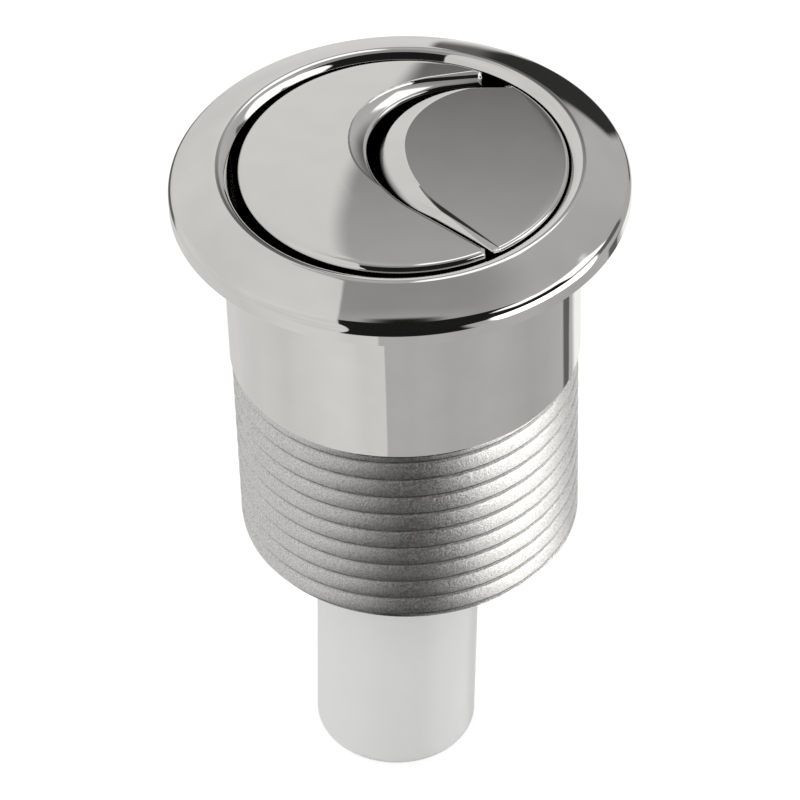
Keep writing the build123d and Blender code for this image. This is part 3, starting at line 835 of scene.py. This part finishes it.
def finishCap(made):
    piece, line = made
    addWall(piece, line)
    piece.data.materials.clear()
    piece.data.materials.append(capFinish)
    sharpen(piece.data, disc["creaseAngle"])
    return piece


fullCapPiece = finishCap(makeFullCap())
halfCapPiece = finishCap(makeHalfCap())
print("caps made:", len(fullCapPiece.data.polygons), len(halfCapPiece.data.polygons), "faces")


# Springs

spring = {
    "bottom": -21.6, "top": -3.6, "travel": 6.0, "circle": 13.4, "meanRadius": 2.05, "wireRadius": 0.225,
    "turns": 7.0, "closedTurns": 1.0, "closedRise": 2.1, "points": 220, "sides": 10, "creaseAngle": 60,
    "angles": {"full_spring_back": 112, "full_spring_front": 248,
               "half_spring_back": 37, "half_spring_front": -37},
}


def makeCoilTree():
    # Coil spring with a closed turn at each end
    tree, given, target = treeInputs("coilSpring", (
        ("Turns", "NodeSocketFloat", 7.0), ("Closed Turns", "NodeSocketFloat", 1.0),
        ("Mean Radius", "NodeSocketFloat", 0.002), ("Wire Radius", "NodeSocketFloat", 0.0002),
        ("Bottom", "NodeSocketFloat", 0.0), ("Top", "NodeSocketFloat", 0.01),
        ("Place X", "NodeSocketFloat", 0.0), ("Place Y", "NodeSocketFloat", 0.0),
        ("Finish", "NodeSocketMaterial", None)))
    line = put(tree, "GeometryNodeCurvePrimitiveLine")
    dense = put(tree, "GeometryNodeResampleCurve")
    dense.inputs["Count"].default_value = spring["points"]
    tree.links.new(line.outputs[0], dense.inputs["Curve"])
    along = put(tree, "GeometryNodeSplineParameter").outputs["Factor"]
    angle = product(tree, along, given["Turns"], 2 * math.pi)
    closedShare = calc(tree, "DIVIDE", given["Closed Turns"], given["Turns"])
    low = calc(tree, "ADD", given["Bottom"], given["Wire Radius"])
    high = calc(tree, "SUBTRACT", given["Top"], given["Wire Radius"])
    # Closed turns rise by a little over the wire each, the rest spread evenly
    rise = calc(tree, "MULTIPLY", given["Wire Radius"], spring["closedRise"])
    openEnd = calc(tree, "SUBTRACT", 1.0, closedShare)
    openRise = calc(tree, "SUBTRACT", calc(tree, "SUBTRACT", high, low), calc(tree, "MULTIPLY", rise, 2.0))
    first = ramp(tree, along, 0.0, closedShare, 0.0, rise, smooth=False)
    middle = ramp(tree, along, closedShare, openEnd, 0.0, openRise, smooth=False)
    last = ramp(tree, along, openEnd, 1.0, 0.0, rise, smooth=False)
    height = calc(tree, "ADD", calc(tree, "ADD", low, first), calc(tree, "ADD", middle, last))
    swing = [calc(tree, "MULTIPLY_ADD", calc(tree, wave, angle), given["Mean Radius"], given[start])
             for wave, start in (("COSINE", "Place X"), ("SINE", "Place Y"))]
    spot = joined(tree, "ShaderNodeCombineXYZ", *swing, height)
    move = put(tree, "GeometryNodeSetPosition")
    tree.links.new(dense.outputs[0], move.inputs["Geometry"])
    tree.links.new(spot, move.inputs["Position"])
    wire = put(tree, "GeometryNodeCurvePrimitiveCircle")
    wire.inputs["Resolution"].default_value = spring["sides"]
    tree.links.new(given["Wire Radius"], wire.inputs["Radius"])
    sweep = put(tree, "GeometryNodeCurveToMesh")
    sweep.inputs["Fill Caps"].default_value = True
    tree.links.new(move.outputs[0], sweep.inputs["Curve"])
    tree.links.new(wire.outputs[0], sweep.inputs["Profile Curve"])
    closeTree(tree, sweep.outputs[0], given["Finish"], target)
    return tree


coilTree = makeCoilTree()
springPieces = {}
for node, angle in spring["angles"].items():
    first, *others = node.split("_")
    label = first + "".join(word.capitalize() for word in others)
    holder = newObject(label, bpy.data.meshes.new(label))
    springPieces[node] = finishNodes(holder, coilTree, {
        "Turns": spring["turns"],
        "Closed Turns": spring["closedTurns"],
        "Mean Radius": spring["meanRadius"] * mm,
        "Wire Radius": spring["wireRadius"] * mm,
        "Bottom": spring["bottom"] * mm,
        "Top": spring["top"] * mm,
        "Place X": spring["circle"] * math.cos(math.radians(angle)) * mm,
        "Place Y": spring["circle"] * math.sin(math.radians(angle)) * mm,
        "Finish": springFinish}, spring["creaseAngle"])
print("springs made")


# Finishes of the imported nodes, and which body each piece rides

nodeFinish = {
    "half_flush_pin": pusherFinish, "full_flush_slider": sliderFinish, "half_flush_slider": sliderFinish,
    "guide_insert": insertFinish, "retaining_ring": insertFinish,
    "full_cap_screw_back": screwFinish, "full_cap_screw_front": screwFinish,
    "half_cap_screw_back": screwFinish, "half_cap_screw_front": screwFinish,
    "collar": collarFinish, "full_flush_cap": capFinish, "half_flush_cap": capFinish,
    "full_flush_sleeve": pusherFinish,
    "full_spring_back": springFinish, "full_spring_front": springFinish,
    "half_spring_back": springFinish, "half_spring_front": springFinish,
}
for node, finish in nodeFinish.items():
    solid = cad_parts[node]
    for slot in solid.material_slots:
        slot.material = finish
    if not solid.material_slots:
        solid.data.materials.append(finish)

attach(collarPiece, "collar")
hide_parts("collar")
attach(fullCapPiece, "full_flush")
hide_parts("full_flush_cap")
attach(halfCapPiece, "half_flush")
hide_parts("half_flush_cap")
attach(sleevePiece, "full_flush")
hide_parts("full_flush_sleeve")
for node, piece in springPieces.items():
    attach(piece, "collar")
    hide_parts(node)
    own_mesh(piece)
print("pieces joined to their bodies")


# Studio: the made-up room that the chrome mirrors, the floor and the camera

room = {
    "leftTone": 0.67, "rightTone": 0.45, "frontTone": 0.012, "backTone": (0.55, 0.69, 0.12, 0.38),
    "tableEdge": (-0.692, -0.637, 0.008), "tableJut": -0.17,
    "wallLean": (-0.62, -0.1, -0.41, -0.268), "wallSoft": 0.008,
    "wallSteps": ((-0.1, 0.17, 0.068, False), (0.5, 0.7, 0.16, True), (0.74, 0.9, 0.09, True)),
    "frontStart": (-0.13, -0.16), "frontReach": (0.0, 0.08, 0.48, 1.3), "frontSoft": 0.08,
    "unevenScale": 1.7, "uneven": (0.3, 0.7, 0.93, 1.09), "warmth": (1.0, 0.995, 0.98),
    "softLight": (1.0, 0.72),
}
# Zones by direction: three numbers are both ends and the softness, two are where a zone starts and is full
backDim = {"x": (-0.3, 0.3, 0.12), "y": (0.6, 0.75)}
zonesBehind = {
    "zenith": {"y": (-0.14, 0.3, 0.1), "z": (0.85, 0.97), "tone": 0.3},
    "backLow": {"x": (0.52, 0.48), "y": (0.57, 0.64), "z": (-0.1, -0.36), "tone": 0.9},
    "upright": {"x": (0.525, 0.63, 0.01), "y": (0.44, 0.56, 0.02), "z": (-0.3, -0.4), "tone": 0.12},
}
zonesOver = {
    "underFront": {"x": (-0.5, 0.4, 0.05), "y": (0.2, 0.0), "z": (-0.7, -0.72), "tone": 0.012},
    "underRight": {"x": (0.45, 0.52), "z": (-0.7, -0.73), "tone": 2.0},
    "backPanel": {"x": (0.13, 0.47, 0.02), "y": (0.7, 0.74), "z": (-0.17, 0.2, 0.03), "tone": 0.03},
    "backShelf": {"x": (0.13, 0.68, 0.02), "y": (0.7, 0.74), "z": (-0.22, -0.06, 0.02), "tone": 0.03},
    "backPane": {"x": (0.02, 0.34, 0.015), "y": (0.34, 0.64, 0.03), "z": (0.7, 0.76), "tone": 1.35},
    "frontStrip": {"x": (0.58, 0.66), "y": (-0.8, 0.1, 0.05), "z": (-0.54, 0.12, 0.04), "tone": 2.6},
    "skirting": {"x": (-0.25, -0.35), "y": (0.55, 0.62), "z": (-0.5, -0.09, 0.02), "tone": 0.12},
    "rightPanel": {"x": (0.83, 0.86), "y": (0.13, 0.47, 0.03), "z": (-0.12, 0.33, 0.03), "tone": 0.12},
    "rightLamp": {"x": (0.635, 0.93, 0.015), "y": (-0.14, 0.3, 0.03), "z": (0.3, 0.36), "tone": 1.35},
    "frontLamp": {"x": (0.5, 0.9, 0.02), "y": (-0.48, -0.12, 0.02), "z": (0.55, 0.8, 0.02), "tone": 1.35},
}


def zoneMask(tree, axes, zone):
    # 1 inside a zone and 0 outside it
    masks = []
    for axis in axes:
        span = zone.get(axis, ())
        if len(span) == 3:
            masks.append(window(tree, axes[axis], *span))
        elif span:
            masks.append(ramp(tree, axes[axis], *span))
    return product(tree, *masks)


def layZones(tree, axes, zones, tone):
    for zone in zones.values():
        tone = blendValue(tree, zoneMask(tree, axes, zone), tone, zone["tone"])
    return tone


def roomTone(tree, axes):
    # Brightness by direction, each part laid over those before it
    x, y, z = axes["x"], axes["y"], axes["z"]
    # The left wall's edge leans over the top in steps, and juts out at the table's edge
    edge = ramp(tree, y, *room["wallLean"], smooth=False)
    for low, high, step, soft in room["wallSteps"]:
        edge = calc(tree, "ADD", edge, ramp(tree, y, low, high, 0.0, step, smooth=soft))
    table = window(tree, z, *room["tableEdge"])
    edge = blendValue(tree, table, edge, room["tableJut"])
    left = ramp(tree, calc(tree, "SUBTRACT", edge, x), -room["wallSoft"], room["wallSoft"])
    backTone = ramp(tree, z, *room["backTone"], smooth=False)
    tone = blendValue(tree, zoneMask(tree, axes, backDim), room["rightTone"], backTone)
    tone = layZones(tree, axes, zonesBehind, tone)
    tone = blendValue(tree, left, tone, room["leftTone"])
    # The front is dark, except for the table's edge and the left wall
    reach = calc(tree, "SUBTRACT", ramp(tree, z, *room["frontReach"]), x)
    front = product(tree, ramp(tree, y, *room["frontStart"]), calc(tree, "SUBTRACT", 1.0, table),
                    calc(tree, "SUBTRACT", 1.0, left), ramp(tree, reach, 0.0, room["frontSoft"]))
    tone = blendValue(tree, front, tone, room["frontTone"])
    return layZones(tree, axes, zonesOver, tone)


def smoothWorld():
    # Mirrors see the room, the camera sees plain white, and all else is lit by a soft white
    world = bpy.data.worlds.new("studioWorld")
    scene.world = world
    world.use_nodes = True
    tree = world.node_tree
    tree.nodes.clear()
    place = put(tree, "ShaderNodeTexCoord").outputs["Generated"]
    axes = dict(zip("xyz", axesOf(tree, place)))
    uneven = ramp(tree, speckle(tree, place, room["unevenScale"], 2.0), *room["uneven"], smooth=False)
    tone = calc(tree, "MULTIPLY", roomTone(tree, axes), uneven)
    rays = put(tree, "ShaderNodeLightPath").outputs
    mirrored = put(tree, "ShaderNodeBackground")
    warm = [calc(tree, "MULTIPLY", tone, factor) for factor in room["warmth"]]
    tree.links.new(joined(tree, "ShaderNodeCombineColor", *warm), mirrored.inputs["Color"])
    soft = put(tree, "ShaderNodeBackground")
    soft.inputs["Color"].default_value = (1, 1, 1, 1)
    strength = ramp(tree, axes["x"], -1.0, 1.0, *room["softLight"], smooth=False)
    tree.links.new(strength, soft.inputs["Strength"])
    plain = put(tree, "ShaderNodeBackground")
    plain.inputs["Color"].default_value = (1, 1, 1, 1)
    lit = joined(tree, "ShaderNodeMixShader", rays["Is Glossy Ray"], soft.outputs[0], mirrored.outputs[0])
    seen = joined(tree, "ShaderNodeMixShader", rays["Is Camera Ray"], lit, plain.outputs[0])
    tree.links.new(seen, put(tree, "ShaderNodeOutputWorld").inputs["Surface"])


smoothWorld()

floorLook = {"size": 3.0, "drop": 0.00002, "tone": 0.85, "shadowTone": 0.3, "glow": 0.82}


def greyShader(tree, tone):
    grey = put(tree, "ShaderNodeBsdfDiffuse")
    grey.inputs["Color"].default_value = (tone, tone, tone, 1)
    return grey.outputs[0]


def makeFloor():
    # Paper that shows the camera mostly its own glow, and isn't mirrored in the chrome
    low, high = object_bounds()
    half = floorLook["size"] / 2
    level = low.z - floorLook["drop"]
    corners = [(-half, -half, level), (half, -half, level), (half, half, level), (-half, half, level)]
    floor = newObject("paleFloor", plainMesh("paleFloor", corners, [(0, 1, 2, 3)]))
    material = bpy.data.materials.new("floorPaper")
    material.use_nodes = True
    tree = material.node_tree
    tree.nodes.clear()
    glow = put(tree, "ShaderNodeEmission")
    glow.inputs["Strength"].default_value = floorLook["glow"]
    seen = joined(tree, "ShaderNodeAddShader", greyShader(tree, floorLook["shadowTone"]), glow.outputs[0])
    forCamera = put(tree, "ShaderNodeLightPath").outputs["Is Camera Ray"]
    mix = joined(tree, "ShaderNodeMixShader", forCamera, greyShader(tree, floorLook["tone"]), seen)
    tree.links.new(mix, put(tree, "ShaderNodeOutputMaterial").inputs["Surface"])
    floor.data.materials.append(material)
    floor.visible_glossy = False


makeFloor()

shot = {"place": (0.0, -352.69, 291.77), "lens": 196.11, "sensor": 36.0, "clipStart": 0.01,
        "right": (0.99948388, -0.02048235, -0.02474748),
        "down": (-0.03208814, -0.67305022, -0.73890036),
        "forward": (-0.00152188, 0.73931311, -0.67336009)}


def makeCamera():
    camera = bpy.data.objects.new("photoCamera", bpy.data.cameras.new("photoCamera"))
    scene.collection.objects.link(camera)
    camera.data.lens = shot["lens"]
    camera.data.sensor_width = shot["sensor"]
    camera.data.clip_start = shot["clipStart"]
    axes = (shot["right"], [-v for v in shot["down"]], [-v for v in shot["forward"]])
    turn = Matrix(axes).transposed().to_4x4()
    camera.matrix_world = Matrix.Translation(Vector(shot["place"]) * mm) @ turn
    scene.camera = camera


makeCamera()
scene.view_settings.view_transform = "Standard"
print("studio made")
